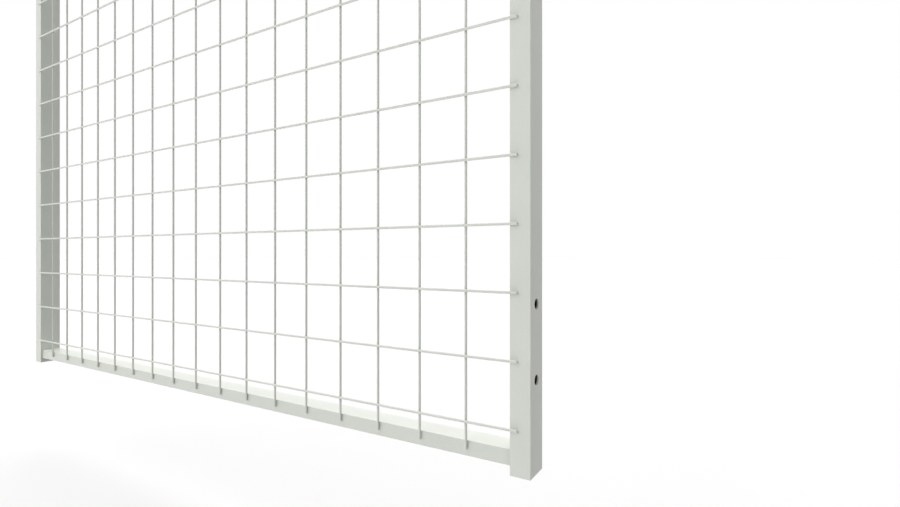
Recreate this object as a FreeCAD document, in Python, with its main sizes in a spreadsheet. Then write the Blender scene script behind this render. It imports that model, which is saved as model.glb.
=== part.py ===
# Wire mesh panel of a machine guard: two posts and two rails of steel tube, with a welded wire mesh on
# the front. The panel stands in the XZ plane, front towards -Y and +Z up. The origin lies on the outer side
# of the right post, at mid depth, midway between its two lower fixing holes. Sizes are in millimetres.
import FreeCAD, Part
import math
import os
import Sketcher

SIZES = [
    ("panel_width", 980, "outer side of the left post to outer side of the right post"),
    ("panel_height", 1950, "lower end to upper end of a post"),
    ("post_width", 20, "post tube, across the panel"),
    ("post_depth", 30, "post tube, front to back"),
    ("post_wall", 1.5, "wall of the post tube"),
    ("post_corner_radius", 0.3, "outer corners of the post tube"),
    ("rail_height", 15, "rail tube, up the panel"),
    ("rail_depth", 25, "rail tube, front to back"),
    ("rail_wall", 1.5, "wall of the rail tube"),
    ("rail_corner_radius", 0.3, "outer corners of the rail tube"),
    ("rail_inset", 8.1, "end of a post to the nearer side of its rail"),
    ("hole_diameter", 10, "fixing holes in the outer side of a post"),
    ("hole_height", 86.2, "end of a post to the nearest fixing hole"),
    ("hole_spacing", 69.4, "centre to centre of a pair of fixing holes"),
    ("upright_wire", 2.65, "diameter of the vertical wires"),
    ("upright_wire_pitch", 53, "aim for the spacing of the vertical wires"),
    ("upright_wire_margin", 45.9, "inner side of a post to the nearest vertical wire"),
    ("upright_wire_lap", 8.3, "length of a vertical wire on the front of a rail"),
    ("level_wire", 2.65, "diameter of the horizontal wires"),
    ("level_wire_pitch", 62.2, "aim for the spacing of the horizontal wires"),
    ("level_wire_margin", 41.9, "end of a post to the nearest horizontal wire"),
    ("level_wire_lap", 7.8, "length of a horizontal wire on the front of a post"),
    ("weld_sink", 0.3, "depth to which crossing wires are pressed into each other"),
]

# Worked out from the sizes: counts come from the aims, and the spacings then fill the panel evenly
LAYOUT = [
    ("post_middle", "sizes.panel_height / 2 - sizes.hole_height - sizes.hole_spacing / 2"),
    ("rail_length", "sizes.panel_width - 2 * sizes.post_width"),
    ("rail_front", "-sizes.post_depth / 2 + sizes.upright_wire - sizes.weld_sink"),
    ("rail_reach", "sizes.panel_height / 2 - sizes.rail_inset - sizes.rail_height / 2"),
    ("upright_span", "rail_length - 2 * sizes.upright_wire_margin"),
    ("upright_count", "round(upright_span / sizes.upright_wire_pitch) + 1"),
    ("level_span", "sizes.panel_height - 2 * sizes.level_wire_margin"),
    ("level_count", "round(level_span / sizes.level_wire_pitch) + 1"),
    ("level_step", "level_span / (level_count - 1)"),
    ("level_length", "rail_length + 2 * sizes.level_wire_lap"),
    ("lower_rows", "ceil(level_count / 2)"),
    ("upper_rows", "level_count - lower_rows"),
    ("upright_start", "sizes.rail_inset + sizes.rail_height - sizes.upright_wire_lap"),
    ("upright_end", "upright_start - sizes.level_wire_margin"),
    ("upright_axis", "-sizes.post_depth / 2 - sizes.weld_sink + sizes.upright_wire / 2"),
    ("level_axis", "-sizes.post_depth / 2 - sizes.level_wire / 2"),
]

WIRE_SIDES = 8
HALF_SIDE = 180 / WIRE_SIDES

doc = FreeCAD.newDocument("WireMeshPanel")


def make_sheet(name, rows):
    """Fill a spreadsheet with one row a value: its name, the value under that alias, and any note."""
    sheet = doc.addObject("Spreadsheet::Sheet", name)
    for number, (alias, value, *note) in enumerate(rows, start=1):
        sheet.set(f"A{number}", alias)
        sheet.setAlias(f"B{number}", alias)
        sheet.set(f"B{number}", str(value))
        sheet.set(f"C{number}", "".join(note))
    return sheet


def bind(feature, **expressions):
    """Tie a feature's properties to the sheets. Two underscores in a key stand for a dot."""
    for key, expression in expressions.items():
        feature.setExpression(key.replace("__", "."), expression)


def origin_part(body, role):
    """A plane or axis of the body's own origin."""
    return next(part for part in body.Origin.OriginFeatures if part.Role == role)


def new_sketch(body, name, plane):
    sketch = body.newObject("Sketcher::SketchObject", name)
    sketch.AttachmentSupport = [(origin_part(body, plane), "")]
    sketch.MapMode = "FlatFace"
    return sketch


def dimension(sketch, name, constraint, expression):
    """Add a named dimension to a sketch and tie it to the sheets."""
    sketch.renameConstraint(sketch.addConstraint(constraint), name)
    sketch.setExpression(f"Constraints.{name}", expression)


def rectangle_sketch(body, name, plane, across, up):
    """A rectangle centred on the plane's origin, with its two sizes given as expressions."""
    sketch = new_sketch(body, name, plane)
    corners = [FreeCAD.Vector(x, y, 0) for x, y in ((-1, -1), (1, -1), (1, 1), (-1, 1))]
    for index, corner in enumerate(corners):
        sketch.addGeometry(Part.LineSegment(corner, corners[(index + 1) % 4]))
    for index in range(4):
        sketch.addConstraint(Sketcher.Constraint("Coincident", index, 2, (index + 1) % 4, 1))
        sketch.addConstraint(Sketcher.Constraint("Vertical" if index % 2 else "Horizontal", index))
    sketch.addConstraint(Sketcher.Constraint("Symmetric", 0, 1, 1, 2, -1, 1))
    dimension(sketch, "across", Sketcher.Constraint("DistanceX", 0, 1, 0, 2, 2), across)
    dimension(sketch, "up", Sketcher.Constraint("DistanceY", 1, 1, 1, 2, 2), up)
    return sketch


def make_tube(label, plane, length, across, up, wall, radius):
    """A rectangular tube centred on its own origin, with round outer corners and open ends."""
    body = doc.addObject("PartDesign::Body", label)
    bar = body.newObject("PartDesign::Pad", f"{label}_bar")
    bar.Profile = rectangle_sketch(body, f"{label}_outside", plane, across, up)
    bar.SideType = "Symmetric"
    bind(bar, Length=length)
    doc.recompute()
    longest = max(edge.Length for edge in bar.Shape.Edges)
    long_edges = [f"Edge{number}" for number, edge in enumerate(bar.Shape.Edges, start=1)
                  if math.isclose(edge.Length, longest)]
    corners = body.newObject("PartDesign::Fillet", f"{label}_corners")
    corners.Base = (bar, long_edges)
    bind(corners, Radius=radius)
    bore = body.newObject("PartDesign::Pocket", f"{label}_bore")
    inside = [f"{size} - 2 * {wall}" for size in (across, up)]
    bore.Profile = rectangle_sketch(body, f"{label}_inside", plane, *inside)
    bore.Type = "ThroughAll"
    bore.SideType = "Symmetric"
    return body


def make_post(label):
    """An upright tube with a pair of fixing holes near each end, through the wall on its +X side."""
    body = make_tube(label, "XY_Plane", "sizes.panel_height", "sizes.post_width", "sizes.post_depth",
                     "sizes.post_wall", "sizes.post_corner_radius")
    sketch = new_sketch(body, f"{label}_hole_pair", "YZ_Plane")
    for height in (-2, -1):
        hole = sketch.addGeometry(Part.Circle(FreeCAD.Vector(0, height, 0), FreeCAD.Vector(0, 0, 1), 1))
        sketch.addConstraint(Sketcher.Constraint("PointOnObject", hole, 3, -2))
    sketch.addConstraint(Sketcher.Constraint("Equal", 0, 1))
    below_middle = "sizes.panel_height / 2 - sizes.hole_height"
    dimension(sketch, "diameter", Sketcher.Constraint("Diameter", 0, 2), "sizes.hole_diameter")
    dimension(sketch, "below_middle", Sketcher.Constraint("DistanceY", 0, 3, -1, 1, 2), below_middle)
    dimension(sketch, "spacing", Sketcher.Constraint("DistanceY", 0, 3, 1, 3, 1), "sizes.hole_spacing")
    lower_holes = body.newObject("PartDesign::Pocket", f"{label}_lower_holes")
    lower_holes.Profile = sketch
    lower_holes.Type = "ThroughAll"
    lower_holes.Reversed = True
    doc.recompute()
    all_holes = body.newObject("PartDesign::Mirrored", f"{label}_holes")
    all_holes.Originals = [lower_holes]
    all_holes.MirrorPlane = (origin_part(body, "XY_Plane"), [""])
    body.Tip = all_holes
    return body


def make_rail(label):
    """A level tube that fits between the posts."""
    return make_tube(label, "YZ_Plane", "layout.rail_length", "sizes.rail_depth", "sizes.rail_height",
                     "sizes.rail_wall", "sizes.rail_corner_radius")


def make_wire(body, name, plane, diameter, length):
    """A wire of few sides, with flats to the front and back, standing on one of the body's planes."""
    sketch = new_sketch(body, f"{name}_section", plane)
    angles = [math.radians(HALF_SIDE * (2 * side - 1)) for side in range(WIRE_SIDES)]
    corners = [FreeCAD.Vector(math.cos(angle), math.sin(angle), 0) for angle in angles]
    for side, corner in enumerate(corners):
        sketch.addGeometry(Part.LineSegment(corner, corners[(side + 1) % WIRE_SIDES]))
    circle = sketch.addGeometry(Part.Circle(FreeCAD.Vector(), FreeCAD.Vector(0, 0, 1), 1), True)
    for side in range(WIRE_SIDES):
        sketch.addConstraint(Sketcher.Constraint("Coincident", side, 2, (side + 1) % WIRE_SIDES, 1))
        sketch.addConstraint(Sketcher.Constraint("PointOnObject", side, 1, circle))
    for side in range(1, WIRE_SIDES):
        sketch.addConstraint(Sketcher.Constraint("Equal", 0, side))
    sketch.addConstraint(Sketcher.Constraint("Vertical", 0))
    sketch.addConstraint(Sketcher.Constraint("Coincident", circle, 3, -1, 1))
    reach = f"{diameter} / 2 / cos({HALF_SIDE} deg)"
    dimension(sketch, "reach", Sketcher.Constraint("Radius", circle, 1), reach)
    wire = body.newObject("PartDesign::Pad", name)
    wire.Profile = sketch
    bind(wire, Length=length)
    return wire


def repeat(body, name, wire, axis, span, count):
    """Repeat a wire evenly along an axis, fused with all that it crosses."""
    pattern = body.newObject("PartDesign::LinearPattern", name)
    pattern.Originals = [wire]
    pattern.Direction = (origin_part(body, axis), [""])
    bind(pattern, Length=span, Occurrences=count)
    body.Tip = pattern
    return pattern


def make_mesh(label, rows):
    """Half of the welded mesh. Its first horizontal wire is at height 0, and the vertical wires run from
    their end on the rail below it to half a spacing past the last horizontal wire."""
    body = doc.addObject("PartDesign::Body", label)
    level = make_wire(body, f"{label}_first_level", "YZ_Plane", "sizes.level_wire", "layout.level_length")
    bind(level.Profile[0], AttachmentOffset__Base__x="layout.level_axis",
         AttachmentOffset__Base__z="-layout.level_length / 2")
    upright = make_wire(body, f"{label}_first_upright", "XY_Plane", "sizes.upright_wire",
                        f"({rows} - 0.5) * layout.level_step - layout.upright_end")
    bind(upright.Profile[0], AttachmentOffset__Base__x="-layout.upright_span / 2",
         AttachmentOffset__Base__y="layout.upright_axis", AttachmentOffset__Base__z="layout.upright_end")
    doc.recompute()
    repeat(body, f"{label}_uprights", upright, "X_Axis", "layout.upright_span", "layout.upright_count")
    doc.recompute()
    repeat(body, f"{label}_levels", level, "Z_Axis", f"({rows} - 1) * layout.level_step", rows)
    return body


def place(body, x, y, z, turn_axis=None):
    """Put a body where it belongs on the panel, turned half round an axis if one is given."""
    if turn_axis:
        body.Placement.Rotation = FreeCAD.Rotation(turn_axis, 180)
    bind(body, Placement__Base__x=x, Placement__Base__y=y, Placement__Base__z=z)
    return body


def check_document():
    """Stop if any object failed to compute."""
    for thing in doc.Objects:
        if "Invalid" in thing.State or "Error" in thing.State:
            raise RuntimeError(f"{thing.Label} failed: {thing.State}")


def export(bodies):
    """Write each body to its own file once every one is a valid single solid."""
    for body in bodies:
        if body.Shape.isNull() or not body.Shape.isValid() or len(body.Shape.Solids) != 1:
            raise RuntimeError(f"{body.Label} is not one valid solid")
    os.makedirs("parts", exist_ok=True)
    for body in bodies:
        body.Shape.exportStep(f"parts/{body.Label}.step")
        print(f"{body.Label}: {body.Shape.Volume / 1000:.2f} cm3, {len(body.Shape.Faces)} faces")


make_sheet("sizes", SIZES)
make_sheet("layout", [(alias, f"={formula}") for alias, formula in LAYOUT])
doc.recompute()

middle = "-sizes.panel_width / 2"
rail_middle = "layout.rail_front + sizes.rail_depth / 2"
first_row = "layout.post_middle - layout.level_span / 2"
last_row = "layout.post_middle + layout.level_span / 2"

panel = [
    place(make_post("right_post"), "-sizes.post_width / 2", "0", "layout.post_middle"),
    place(make_post("left_post"), "sizes.post_width / 2 - sizes.panel_width", "0", "layout.post_middle",
          FreeCAD.Vector(0, 0, 1)),
    place(make_rail("bottom_rail"), middle, rail_middle, "layout.post_middle - layout.rail_reach"),
    place(make_rail("top_rail"), middle, rail_middle, "layout.post_middle + layout.rail_reach"),
    place(make_mesh("lower_wire_mesh", "layout.lower_rows"), middle, "0", first_row),
    place(make_mesh("upper_wire_mesh", "layout.upper_rows"), middle, "0", last_row, FreeCAD.Vector(0, 1, 0)),
]
doc.recompute()
check_document()
export(panel)
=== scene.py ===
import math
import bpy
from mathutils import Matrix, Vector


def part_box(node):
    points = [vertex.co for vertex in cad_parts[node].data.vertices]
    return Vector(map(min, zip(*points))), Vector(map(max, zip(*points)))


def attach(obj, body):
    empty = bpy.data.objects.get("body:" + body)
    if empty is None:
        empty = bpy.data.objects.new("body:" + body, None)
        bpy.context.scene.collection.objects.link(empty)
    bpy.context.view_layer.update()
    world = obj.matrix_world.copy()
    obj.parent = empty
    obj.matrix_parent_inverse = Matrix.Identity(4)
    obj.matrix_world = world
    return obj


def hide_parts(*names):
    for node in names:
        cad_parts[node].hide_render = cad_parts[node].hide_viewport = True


bl_info = {
    "name": "Guard mesh panel",
    "version": (1, 0, 0),
    "blender": (4, 5, 0),
    "location": "View3D > Sidebar > Mesh Panel",
    "description": "Round welded wires, powder coat and a white studio for a guard's wire mesh panel",
    "category": "Add Mesh",
}

import bpy
import numpy as np
from bpy.props import FloatProperty, FloatVectorProperty, IntProperty, PointerProperty
from mathutils import Vector

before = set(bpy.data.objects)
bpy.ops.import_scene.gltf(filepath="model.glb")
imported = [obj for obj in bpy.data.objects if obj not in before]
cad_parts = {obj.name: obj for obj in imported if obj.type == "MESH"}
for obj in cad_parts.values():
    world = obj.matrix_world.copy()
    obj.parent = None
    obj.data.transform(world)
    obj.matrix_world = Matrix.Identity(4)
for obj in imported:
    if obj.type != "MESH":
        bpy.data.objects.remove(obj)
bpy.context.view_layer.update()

BODY = "root"
POSTS = ("right_post", "left_post")
RAILS = ("bottom_rail", "top_rail")
MESH_HALVES = ("lower_wire_mesh", "upper_wire_mesh")

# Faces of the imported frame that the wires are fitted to, in metres
POST_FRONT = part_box("right_post")[0].y
POST_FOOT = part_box("right_post")[0].z
POST_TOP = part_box("right_post")[1].z
LEFT_POST_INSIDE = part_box("left_post")[1].x
RIGHT_POST_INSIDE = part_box("right_post")[0].x
RAIL_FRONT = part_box("bottom_rail")[0].y
BOTTOM_RAIL_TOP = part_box("bottom_rail")[1].z
TOP_RAIL_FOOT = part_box("top_rail")[0].z
MESH_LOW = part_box("lower_wire_mesh")[0]
MESH_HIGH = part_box("upper_wire_mesh")[1]

X_AXIS = np.array([1.0, 0.0, 0.0])
Y_AXIS = np.array([0.0, 1.0, 0.0])
Z_AXIS = np.array([0.0, 0.0, 1.0])

# Edges of the wires that turn by more than this are shaded sharp
SHARP_ANGLE = math.radians(40)

BEAD_RINGS = 3
BEAD_SIDES = 10

# Added to the inside of a tube, so that its inner walls lie within it
INSIDE_SLACK = 0.00005

# Octaves of the coat's noises, and the mean of a noise
PEEL_DETAIL = 2
TONE_DETAIL = 3
SHEEN_DETAIL = 2
NOISE_MEAN = 0.5

# Half the width of the floor, and the tilt at which a camera looks level
FLOOR_REACH = 30.0
LEVEL_TILT = math.radians(90)

# Direction towards each lamp, and the angle across it, which softens its shadows
LAMPS = {
    "key": ((-0.72, -0.31, 0.62), math.radians(90)),
    "fill": ((0.6, -0.8, 0.1), math.radians(90)),
    "back": ((0.0, 0.69, 0.72), math.radians(90)),
    "low": ((-0.22, -0.28, -0.8), math.radians(60)),
}

WHITE = (1.0, 1.0, 1.0, 1.0)

# Rays by which the camera sees the floor and the sky
SEEN_RAYS = ("Is Camera Ray", "Is Glossy Ray", "Is Transmission Ray")

# Sockets of a Mix node that is set to blend colours, which share their names with others
MIX_SHARE = 0
MIX_FIRST = 6
MIX_SECOND = 7
MIX_COLOUR = 2


class WireSizes(bpy.types.PropertyGroup):
    """Sizes of the welded wire mesh."""

    upright_diameter: FloatProperty(
        name="Vertical wire", description="Diameter of the vertical wires",
        default=0.00265, unit="LENGTH")
    upright_count: IntProperty(
        name="Vertical wires", description="Number of vertical wires",
        default=17, min=2)
    upright_margin: FloatProperty(
        name="Side margin", description="Inner side of a post to the nearest vertical wire",
        default=0.0459, unit="LENGTH")
    level_diameter: FloatProperty(
        name="Horizontal wire", description="Diameter of the horizontal wires",
        default=POST_FRONT - MESH_LOW.y, unit="LENGTH")
    level_count: IntProperty(
        name="Horizontal wires", description="Number of horizontal wires",
        default=31, min=2)
    level_margin: FloatProperty(
        name="End margin", description="End of a post to the nearest horizontal wire",
        default=0.0419, unit="LENGTH")
    sides: IntProperty(
        name="Sides", description="Sides of the ring that is swept along a wire",
        default=16, min=6)
    cut_bevel: FloatProperty(
        name="Cut bevel", description="Bevel round the cut end of a wire",
        default=0.0002, unit="LENGTH")
    press_depth: FloatProperty(
        name="Press depth", description="Depth of the flat that a welding electrode leaves",
        default=0.00018, unit="LENGTH")
    press_length: FloatProperty(
        name="Press length", description="Length of the flat that a welding electrode leaves",
        default=0.0036, unit="LENGTH")
    bead_swell: FloatProperty(
        name="Bead swell", description="Reach of a weld bead, as a share of the wires' radii",
        default=0.98, subtype="FACTOR")
    bead_depth: FloatProperty(
        name="Bead depth", description="Half thickness of a weld bead, front to back",
        default=0.00055, unit="LENGTH")


class CoatLook(bpy.types.PropertyGroup):
    """Colours and grain of the powder coat, its painted shade, and the bare steel inside the tubes."""

    colour: FloatVectorProperty(
        name="Coat", description="Colour of the powder coat",
        default=(0.635, 0.656, 0.605), subtype="COLOR", size=3, min=0.0, max=1.0)
    # Painted shade: the wires' coat is darker than the tubes' coat, standing in for the shade on the thin
    # wires
    wire_painted_shade: FloatProperty(
        name="Wire shade", description="Brightness of the wires' coat, as a share of the tubes' coat",
        default=0.955, subtype="FACTOR")
    # Painted shade: the rails' coat darkens towards the rails' ends, where the posts shade them
    rail_end_painted_shade: FloatProperty(
        name="Corner shade", description="Brightness of the thin coat in the corners at the rails' ends",
        default=0.86, subtype="FACTOR")
    rail_end_shade_reach: FloatProperty(
        name="Corner reach", description="End of a rail to where its coat is full",
        default=0.011, unit="LENGTH")
    # Painted shade: the coat of the vertical wires and weld beads darkens round each horizontal wire's
    # axis, where the horizontal wires shade them
    crossing_painted_shade: FloatProperty(
        name="Crossing shade", description="Brightness of the thin coat where wires cross",
        default=0.5, subtype="FACTOR")
    crossing_shade_reach: FloatProperty(
        name="Crossing reach", description="Axis of a horizontal wire to where the coat behind it is full",
        default=0.005, unit="LENGTH")
    tone_change: FloatProperty(
        name="Tone change", description="Change of brightness over the coat",
        default=0.08, subtype="FACTOR")
    tone_size: FloatProperty(
        name="Tone size", description="Size of the lighter and darker patches",
        default=0.04, unit="LENGTH")
    grain_share: FloatProperty(
        name="Grain share", description="Share of the orange peel's grain in the change of brightness",
        default=0.5, subtype="FACTOR")
    roughness: FloatProperty(
        name="Roughness", description="Mean roughness of the powder coat",
        default=0.35, subtype="FACTOR")
    roughness_change: FloatProperty(
        name="Roughness change", description="Change of roughness over the coat",
        default=0.1, subtype="FACTOR")
    sheen_size: FloatProperty(
        name="Sheen size", description="Size of the duller and glossier patches",
        default=0.01, unit="LENGTH")
    peel_size: FloatProperty(
        name="Peel size", description="Size of the coat's orange peel",
        default=0.0011, unit="LENGTH")
    peel_depth: FloatProperty(
        name="Peel depth", description="Depth of the coat's orange peel",
        default=0.00003, unit="LENGTH")
    steel_colour: FloatVectorProperty(
        name="Bare steel", description="Colour of the uncoated steel inside the tubes",
        default=(0.05, 0.047, 0.044), subtype="COLOR", size=3, min=0.0, max=1.0)
    steel_roughness: FloatProperty(
        name="Steel roughness", description="Roughness of the uncoated steel",
        default=0.6, subtype="FACTOR")
    wall: FloatProperty(
        name="Tube wall", description="Wall of the tubes",
        default=0.0015, unit="LENGTH")


class StudioLook(bpy.types.PropertyGroup):
    """Camera, lamps and floor."""

    camera_place: FloatVectorProperty(
        name="Camera", description="Place of the camera",
        default=(0.164345, -0.437061, 0.080786), subtype="TRANSLATION", size=3)
    camera_turn: FloatProperty(
        name="Camera turn", description="Turn of the level camera to the left of the panel's normal",
        default=math.radians(30.353), subtype="ANGLE")
    lens: FloatProperty(
        name="Lens", description="Focal length on a 36 mm sensor",
        default=20.1595, unit="CAMERA")
    sky_strength: FloatProperty(
        name="Sky", description="Strength of the even light from all around",
        default=0.33)
    key_strength: FloatProperty(
        name="Key lamp", description="Strength of the broad lamp at the upper left",
        default=2.95)
    fill_strength: FloatProperty(
        name="Fill lamp", description="Strength of the weak lamp at the front right",
        default=0.85)
    back_strength: FloatProperty(
        name="Back lamp", description="Strength of the broad lamp above and behind",
        default=1.9)
    low_strength: FloatProperty(
        name="Low lamp", description="Strength of the lamp below the panel",
        default=2.77)
    floor_drop: FloatProperty(
        name="Floor drop", description="Lower end of the posts to the floor",
        default=0.15, unit="LENGTH")
    floor_colour: FloatVectorProperty(
        name="Floor", description="Colour of the floor where it is seen",
        default=(0.73, 0.73, 0.73), subtype="COLOR", size=3)
    floor_bounce: FloatVectorProperty(
        name="Floor bounce", description="Colour with which the floor throws light back on the panel",
        default=(0.11, 0.11, 0.11), subtype="COLOR", size=3)


class Signal:
    """One output of a node. Arithmetic on signals adds Math nodes."""

    def __init__(self, graph, socket):
        self.graph = graph
        self.socket = socket

    def __add__(self, other):
        return self.graph.maths("ADD", self, other)

    def __sub__(self, other):
        return self.graph.maths("SUBTRACT", self, other)

    def __rsub__(self, other):
        return self.graph.maths("SUBTRACT", other, self)

    def __mul__(self, other):
        return self.graph.maths("MULTIPLY", self, other)

    def __lt__(self, other):
        return self.graph.maths("LESS_THAN", self, other)

    def __abs__(self):
        return self.graph.maths("ABSOLUTE", self)

    __radd__ = __add__
    __rmul__ = __mul__


class Graph:
    """The node tree of a material or world, filled one node at a time."""

    def __init__(self, owner):
        owner.use_nodes = True
        self.tree = owner.node_tree
        self.tree.nodes.clear()

    def node(self, kind, settings=None, inputs=None, output=0):
        """Add a node, set its settings, then its sockets, and return one of its outputs."""
        made = self.tree.nodes.new(kind)
        for key, value in (settings or {}).items():
            setattr(made, key, value)
        for key, value in (inputs or {}).items():
            if isinstance(value, Signal):
                self.tree.links.new(value.socket, made.inputs[key])
            else:
                made.inputs[key].default_value = value
        return Signal(self, made.outputs[output]) if made.outputs else None

    def maths(self, operation, *values):
        """A Math node's result for the given values."""
        return self.node("ShaderNodeMath", {"operation": operation}, dict(enumerate(values)))

    def part(self, vector, axis):
        """One of a vector's three parts, by its number or its letter."""
        return self.node("ShaderNodeSeparateXYZ", inputs={"Vector": vector}, output=axis)

    def noise(self, place, size, detail):
        """Noise whose blotches are about as wide as size, from 0 to 1."""
        sockets = {"Vector": place, "Scale": 1 / size, "Detail": detail}
        return self.node("ShaderNodeTexNoise", inputs=sockets)

    def blend_colours(self, share, first, second):
        """First colour where share is 0 and second where it is 1."""
        sockets = {MIX_SHARE: share, MIX_FIRST: first, MIX_SECOND: second}
        return self.node("ShaderNodeMix", {"data_type": "RGBA"}, sockets, MIX_COLOUR)


def ring_faces(wires, stations, sides):
    """Faces of swept wires whose points are numbered wire by wire, station by station, side by side.

    A quad joins each side of a ring to the same side of the next ring, and the first and last ring of a
    wire are filled with one flat face each.
    """
    ring = np.arange(stations - 1)[:, None] * sides
    next_ring = ring + sides
    side = np.arange(sides)[None, :]
    next_side = (side + 1) % sides
    quads = np.stack([ring + side, ring + next_side, next_ring + next_side, next_ring + side], -1)
    first_cap = np.arange(sides)[::-1]
    last_cap = (stations - 1) * sides + np.arange(sides)
    wire_start = np.arange(wires)[:, None, None] * stations * sides
    all_quads = (quads.reshape(1, -1, 4) + wire_start).reshape(-1, 4)
    all_caps = (np.stack([first_cap, last_cap])[None] + wire_start).reshape(-1, sides)
    return all_quads.tolist() + all_caps.tolist()


def press_share(stations, marks, half_length):
    """How deep a press mark is at each station, from 0 to 1.

    The depth is full within half of half_length from a mark's middle, and falls in a straight line to
    nothing at half_length.
    """
    distance = np.abs(stations[:, None] - marks[None, :]).min(axis=1, initial=np.inf)
    return np.clip((half_length - distance) / (half_length / 2), 0, 1)


def wire_points(starts, along, across, ends, radius, front_marks, back_marks, sizes):
    """Points of a row of straight round wires, as wires x stations x sides x 3.

    A circle is carried along each wire, whose stations are counted from a start on its axis. The circle's
    side towards the front is cut level where a front mark presses it, its side towards the back where a
    back mark does, and it shrinks by the bevel at both ends.
    """
    half = sizes.press_length / 2
    offsets = np.array([-half, -half / 2, half / 2, half])
    marks = np.concatenate([front_marks, back_marks])
    bevel = sizes.cut_bevel
    first, last = ends
    cuts = [first, first + bevel, last - bevel, last]
    stations = np.sort(np.concatenate([(marks[:, None] + offsets).ravel(), cuts]))
    radii = np.full(len(stations), radius)
    radii[[0, -1]] -= bevel
    angle = np.linspace(0, 2 * np.pi, sizes.sides, endpoint=False)
    sideways = radii[:, None] * np.sin(angle)
    front = radii - sizes.press_depth * press_share(stations, front_marks, half)
    back = radii - sizes.press_depth * press_share(stations, back_marks, half)
    depth = np.clip(radii[:, None] * np.cos(angle), -front[:, None], back[:, None])
    ring = stations[:, None, None] * along + sideways[..., None] * across + depth[..., None] * Y_AXIS
    return starts[:, None, None, :] + ring[None]


def bead_points(centres, reach, rings, sides):
    """Points of flat ellipsoids round the given centres, as beads x points x 3, with the poles last.

    Angle a goes round the bead and angle b from its front pole to its back pole: the offset from the
    centre is (sin b cos a, -cos b, sin b sin a) times reach, the bead's half size along each axis.
    """
    turn = np.linspace(0, 2 * np.pi, sides, endpoint=False)[None, :]
    tilt = np.linspace(0, np.pi, rings + 2)[1:-1, None]
    shell = np.stack(np.broadcast_arrays(
        np.sin(tilt) * np.cos(turn), -np.cos(tilt), np.sin(tilt) * np.sin(turn)), -1)
    poles = np.stack([-Y_AXIS, Y_AXIS])
    points = np.concatenate([shell.reshape(-1, 3), poles]) * reach
    return centres[:, None, :] + points[None]


def bead_faces(beads, rings, sides):
    """Faces of the ellipsoids: quads between rings and a fan of triangles at each pole."""
    ring = np.arange(rings - 1)[:, None] * sides
    next_ring = ring + sides
    side = np.arange(sides)[None, :]
    next_side = (side + 1) % sides
    quads = np.stack([ring + side, next_ring + side, next_ring + next_side, ring + next_side], -1)
    last_ring = (rings - 1) * sides
    front_pole = rings * sides
    back_pole = front_pole + 1
    front_fan = np.stack(np.broadcast_arrays(front_pole, side, next_side), -1)
    back_fan = np.stack(np.broadcast_arrays(back_pole, last_ring + next_side, last_ring + side), -1)
    bead_start = np.arange(beads)[:, None, None] * (back_pole + 1)
    all_quads = (quads.reshape(1, -1, 4) + bead_start).reshape(-1, 4)
    fans = np.concatenate([front_fan, back_fan])
    all_fans = (fans.reshape(1, -1, 3) + bead_start).reshape(-1, 3)
    return all_quads.tolist() + all_fans.tolist()


def upright_places(sizes):
    """x of each vertical wire's axis, evenly spaced between the margins at the posts."""
    first = LEFT_POST_INSIDE + sizes.upright_margin
    last = RIGHT_POST_INSIDE - sizes.upright_margin
    return np.linspace(first, last, sizes.upright_count)


def level_places(sizes):
    """z of each horizontal wire's axis, evenly spaced between the margins at the posts' ends."""
    return np.linspace(POST_FOOT + sizes.level_margin, POST_TOP - sizes.level_margin, sizes.level_count)


def add_wire_piece(name, points, faces, material):
    """Put a mesh of the given points and faces into the scene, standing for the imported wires."""
    mesh = bpy.data.meshes.new(name)
    mesh.from_pydata(points.reshape(-1, 3).tolist(), [], faces)
    mesh.polygons.foreach_set("use_smooth", np.ones(len(faces), dtype=bool))
    mesh.set_sharp_from_angle(angle=SHARP_ANGLE)
    mesh.materials.append(material)
    if mesh.validate():
        raise RuntimeError(f"{name} has faces that had to be mended")
    piece = bpy.data.objects.new(name, mesh)
    bpy.context.scene.collection.objects.link(piece)
    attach(piece, BODY)
    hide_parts(*MESH_HALVES)


def rgba(colour, share=1):
    """A colour at a share of its brightness, with full alpha."""
    return [part * share for part in colour] + [1]


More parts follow.
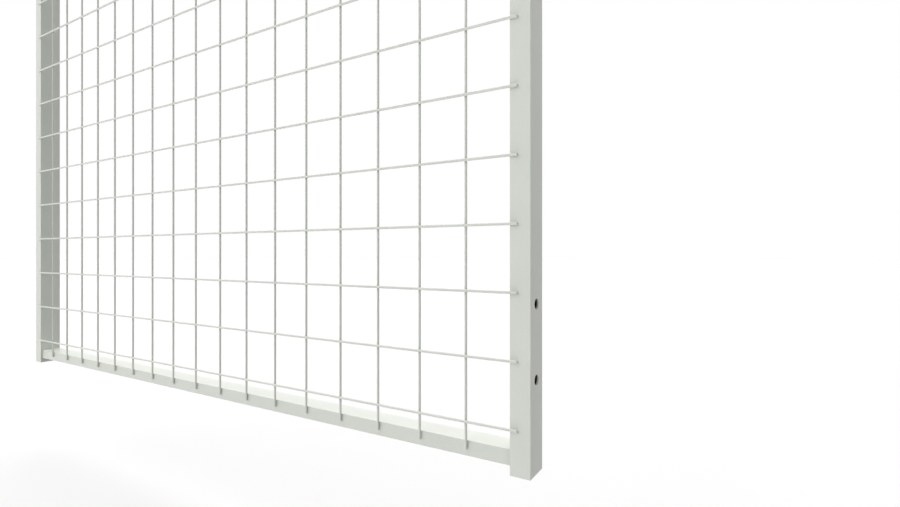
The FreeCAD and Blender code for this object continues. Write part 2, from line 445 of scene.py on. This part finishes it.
def powder_coat(name, look, shade=1, painted_shade=None, tube=None):
    """Satin powder coat with a fine orange peel.

    The tone runs from a darker to a lighter colour by a mix of broad patches and the peel's own grain, all
    times shade, which on the wires is painted shade. Painted shade may also darken the coat near given
    places:
    it comes as a function for the distance from them, the reach of the painted shade and its brightness,
    and it grows with the square of the nearness, which is 1 at distance 0 and 0 at the reach. The inner
    walls of a tube have dark scale in place of the coat.
    """
    material = bpy.data.materials.new(name)
    graph = Graph(material)
    place = graph.node("ShaderNodeTexCoord", output="Object")
    peel = graph.noise(place, look.peel_size, PEEL_DETAIL)
    patches = graph.noise(place, look.tone_size, TONE_DETAIL)
    sheen = graph.noise(place, look.sheen_size, SHEEN_DETAIL)
    tone = (1 - look.grain_share) * patches + look.grain_share * peel
    # The shade share darkens the whole coat; on the wires it is painted shade
    darker = rgba(look.colour, shade * (1 - look.tone_change))
    lighter = rgba(look.colour, shade * (1 + look.tone_change))
    colour = graph.blend_colours(tone, darker, lighter)
    roughness = look.roughness + look.roughness_change * (sheen - NOISE_MEAN)
    # Painted shade: darkest where the distance is 0, gone at the reach
    if painted_shade:
        distance, reach, painted_shade_brightness = painted_shade
        shade_nearness = graph.maths("MAXIMUM", 1 - distance(graph, place) * (1 / reach), 0)
        shaded_coat = rgba(look.colour, shade * painted_shade_brightness)
        colour = graph.blend_colours(shade_nearness * shade_nearness, colour, shaded_coat)
    if tube:
        inside = tube_inside(graph, place, tube, look.wall)
        colour = graph.blend_colours(inside, colour, rgba(look.steel_colour))
        roughness = roughness + inside * (look.steel_roughness - roughness)
    bump = {"Strength": 1, "Distance": look.peel_depth, "Height": peel}
    normal = graph.node("ShaderNodeBump", inputs=bump)
    finish = {"Base Color": colour, "Roughness": roughness, "Normal": normal}
    shader = graph.node("ShaderNodeBsdfPrincipled", inputs=finish)
    graph.node("ShaderNodeOutputMaterial", inputs={"Surface": shader})
    return material


def coat_with_crossing_shade(name, look):
    """Wire coat behind the horizontal wires, with painted shade round each horizontal wire's axis where
    wires cross.
    """
    painted_shade = (level_wire_distance, look.crossing_shade_reach, look.crossing_painted_shade)
    return powder_coat(name, look, look.wire_painted_shade, painted_shade)


def rail_end_distance(graph, place):
    """Distance along a rail from the nearer of its ends, which stand against the posts.

    It rises evenly from one end to the middle of the rail and falls evenly to the other end.
    """
    half_length = (RIGHT_POST_INSIDE - LEFT_POST_INSIDE) / 2
    return graph.maths("PINGPONG", graph.part(place, "X") - LEFT_POST_INSIDE, half_length)


def level_wire_distance(graph, place):
    """Distance from the axis of the nearest horizontal wire.

    It is the root of two squares added up: how far a point lies behind the axis, and how far above or
    below it, which rises and falls evenly from one axis to the next.
    """
    sizes = bpy.context.scene.panel_wires
    lowest, second = level_places(sizes)[:2]
    behind = graph.part(place, "Y") - (POST_FRONT - sizes.level_diameter / 2)
    beside = graph.maths("PINGPONG", graph.part(place, "Z") - lowest, (second - lowest) / 2)
    return graph.maths("SQRT", behind * behind + beside * beside)


def tube_inside(graph, place, tube, wall):
    """1 on the inner walls of a packed tube and 0 on the rest of it.

    A point is inside where it lies nearer to the tube's axis than the inner walls do, in both directions
    across the tube.
    """
    low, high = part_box(tube)
    middle = (low + high) / 2
    half = (high - low) / 2
    long_axis = max(range(3), key=lambda axis: half[axis])
    first, second = (
        abs(graph.part(place, axis) - middle[axis]) < half[axis] - wall + INSIDE_SLACK
        for axis in range(3) if axis != long_axis)
    return first * second


class MESHPANEL_OT_coat_tubes(bpy.types.Operator):
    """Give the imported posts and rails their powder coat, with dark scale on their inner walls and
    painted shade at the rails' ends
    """

    bl_idname = "mesh_panel.coat_tubes"
    bl_label = "Coat Posts and Rails"

    def execute(self, context):
        look = context.scene.panel_coat
        # Painted shade on the rails, darkest at their ends against the posts
        rail_end_shade = (rail_end_distance, look.rail_end_shade_reach, look.rail_end_painted_shade)
        for tube in POSTS + RAILS:
            painted_shade = rail_end_shade if tube in RAILS else None
            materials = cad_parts[tube].data.materials
            materials.clear()
            materials.append(powder_coat(tube + "_coat", look, painted_shade=painted_shade, tube=tube))
        return {"FINISHED"}


class MESHPANEL_OT_upright_wires(bpy.types.Operator):
    """Sweep the vertical wires, which are seated on the fronts of the rails"""

    bl_idname = "mesh_panel.upright_wires"
    bl_label = "Vertical Wires"

    def execute(self, context):
        sizes = context.scene.panel_wires
        radius = sizes.upright_diameter / 2
        starts = np.stack(np.broadcast_arrays(upright_places(sizes), RAIL_FRONT - radius, 0.0), -1)
        ends = (MESH_LOW.z, MESH_HIGH.z)
        laps = np.array([(MESH_LOW.z + BOTTOM_RAIL_TOP) / 2, (MESH_HIGH.z + TOP_RAIL_FOOT) / 2])
        points = wire_points(
            starts, Z_AXIS, -X_AXIS, ends, radius, laps, level_places(sizes), sizes)
        faces = ring_faces(*points.shape[:3])
        # Painted shade round the crossings, on top of the wires' painted shade
        coat = coat_with_crossing_shade("vertical_wires_coat", context.scene.panel_coat)
        add_wire_piece("vertical_wires", points, faces, coat)
        return {"FINISHED"}


class MESHPANEL_OT_level_wires(bpy.types.Operator):
    """Sweep the horizontal wires, which are seated on the fronts of the posts"""

    bl_idname = "mesh_panel.level_wires"
    bl_label = "Horizontal Wires"

    def execute(self, context):
        sizes = context.scene.panel_wires
        look = context.scene.panel_coat
        radius = sizes.level_diameter / 2
        starts = np.stack(np.broadcast_arrays(0.0, POST_FRONT - radius, level_places(sizes)), -1)
        ends = (MESH_LOW.x, MESH_HIGH.x)
        laps = np.array([(MESH_LOW.x + LEFT_POST_INSIDE) / 2, (MESH_HIGH.x + RIGHT_POST_INSIDE) / 2])
        front_marks = np.concatenate([laps, upright_places(sizes)])
        no_marks = np.empty(0)
        points = wire_points(starts, X_AXIS, Z_AXIS, ends, radius, front_marks, no_marks, sizes)
        faces = ring_faces(*points.shape[:3])
        # The wires' painted shade darkens this coat
        coat = powder_coat("horizontal_wires_coat", look, look.wire_painted_shade)
        add_wire_piece("horizontal_wires", points, faces, coat)
        return {"FINISHED"}


class MESHPANEL_OT_wire_welds(bpy.types.Operator):
    """Lay a flat weld bead between the wires at every crossing"""

    bl_idname = "mesh_panel.wire_welds"
    bl_label = "Wire Welds"

    def execute(self, context):
        sizes = context.scene.panel_wires
        upright_front = RAIL_FRONT - sizes.upright_diameter
        between = (POST_FRONT + upright_front) / 2
        across, up = np.meshgrid(upright_places(sizes), level_places(sizes), indexing="ij")
        centres = np.stack(np.broadcast_arrays(across, between, up), -1).reshape(-1, 3)
        half_swell = sizes.bead_swell / 2
        reach = np.array([
            sizes.upright_diameter * half_swell, sizes.bead_depth, sizes.level_diameter * half_swell])
        points = bead_points(centres, reach, BEAD_RINGS, BEAD_SIDES)
        faces = bead_faces(len(centres), BEAD_RINGS, BEAD_SIDES)
        # The weld beads get the painted shade of the crossings
        coat = coat_with_crossing_shade("wire_welds_coat", context.scene.panel_coat)
        add_wire_piece("wire_welds", points, faces, coat)
        return {"FINISHED"}


class MESHPANEL_OT_studio(bpy.types.Operator):
    """Set up the white studio: floor, even sky, lamps and the camera"""

    bl_idname = "mesh_panel.studio"
    bl_label = "Studio"

    def execute(self, context):
        look = context.scene.panel_studio
        lay_floor(context.scene, look)
        light_studio(context.scene, look)
        place_camera(context.scene, look)
        context.scene.view_settings.view_transform = "Standard"
        return {"FINISHED"}


def lay_floor(scene, look):
    """A flat square floor below the posts that takes their shadow and lets the low lamp through."""
    square = np.array([[-1.0, -1.0], [1.0, -1.0], [1.0, 1.0], [-1.0, 1.0]]) * FLOOR_REACH
    height = np.full((len(square), 1), POST_FOOT - look.floor_drop)
    mesh = bpy.data.meshes.new("floor")
    mesh.from_pydata(np.hstack([square, height]).tolist(), [], [[0, 1, 2, 3]])
    material = bpy.data.materials.new("floor_paint")
    graph = Graph(material)
    colour = graph.blend_colours(seen_directly(graph), rgba(look.floor_bounce), rgba(look.floor_colour))
    shader = graph.node("ShaderNodeBsdfDiffuse", inputs={"Color": colour})
    graph.node("ShaderNodeOutputMaterial", inputs={"Surface": shader})
    mesh.materials.append(material)
    floor = bpy.data.objects.new("floor", mesh)
    floor.visible_shadow = False
    scene.collection.objects.link(floor)


def seen_directly(graph):
    """1 for rays by which the camera sees, also in a reflection or through glass, and 0 for all others.

    The others are the rays that light the panel.
    """
    camera, glossy, through = (graph.node("ShaderNodeLightPath", output=ray) for ray in SEEN_RAYS)
    return graph.maths("MINIMUM", camera + glossy + through, 1)


def light_studio(scene, look):
    """An even sky that is white where it is seen, and the lamps."""
    world = bpy.data.worlds.new("studio_sky")
    graph = Graph(world)
    strength = look.sky_strength + seen_directly(graph) * (1 - look.sky_strength)
    sky = graph.node("ShaderNodeBackground", inputs={"Color": WHITE, "Strength": strength})
    graph.node("ShaderNodeOutputWorld", inputs={"Surface": sky})
    scene.world = world
    for name, (direction, spread) in LAMPS.items():
        add_lamp(scene, name + "_lamp", getattr(look, name + "_strength"), direction, spread)


def add_lamp(scene, name, strength, direction, spread):
    """A far lamp that shines from a direction, as wide as its spread, with no hot spot on the coat."""
    lamp = bpy.data.lights.new(name, "SUN")
    lamp.energy = strength
    lamp.angle = spread
    holder = bpy.data.objects.new(name, lamp)
    holder.rotation_euler = Vector(direction).to_track_quat("Z", "Y").to_euler()
    holder.visible_glossy = False
    scene.collection.objects.link(holder)


def place_camera(scene, look):
    """A level camera, turned about the vertical only."""
    data = bpy.data.cameras.new("camera")
    data.lens = look.lens
    camera = bpy.data.objects.new("camera", data)
    camera.location = look.camera_place
    camera.rotation_euler = (LEVEL_TILT, 0, look.camera_turn)
    scene.collection.objects.link(camera)
    scene.camera = camera


class MESHPANEL_PT_sidebar(bpy.types.Panel):
    """Steps and sizes of the mesh panel"""

    bl_idname = "MESHPANEL_PT_sidebar"
    bl_label = "Mesh Panel"
    bl_space_type = "VIEW_3D"
    bl_region_type = "UI"
    bl_category = "Mesh Panel"

    def draw(self, context):
        for step in STEPS:
            self.layout.operator(step.bl_idname)
        for name, group in SETTINGS.items():
            settings = getattr(context.scene, name)
            for key in group.__annotations__:
                self.layout.prop(settings, key)


SETTINGS = {"panel_wires": WireSizes, "panel_coat": CoatLook, "panel_studio": StudioLook}
STEPS = (
    MESHPANEL_OT_studio,
    MESHPANEL_OT_coat_tubes,
    MESHPANEL_OT_upright_wires,
    MESHPANEL_OT_level_wires,
    MESHPANEL_OT_wire_welds,
)
CLASSES = (*SETTINGS.values(), *STEPS, MESHPANEL_PT_sidebar)


def register():
    for each in CLASSES:
        bpy.utils.register_class(each)
    for name, group in SETTINGS.items():
        setattr(bpy.types.Scene, name, PointerProperty(type=group))


def unregister():
    for name in SETTINGS:
        delattr(bpy.types.Scene, name)
    for each in reversed(CLASSES):
        bpy.utils.unregister_class(each)


def main():
    register()
    bpy.ops.mesh_panel.studio()
    bpy.ops.mesh_panel.coat_tubes()
    bpy.ops.mesh_panel.upright_wires()
    bpy.ops.mesh_panel.level_wires()
    bpy.ops.mesh_panel.wire_welds()


if __name__ == "__main__":
    main()
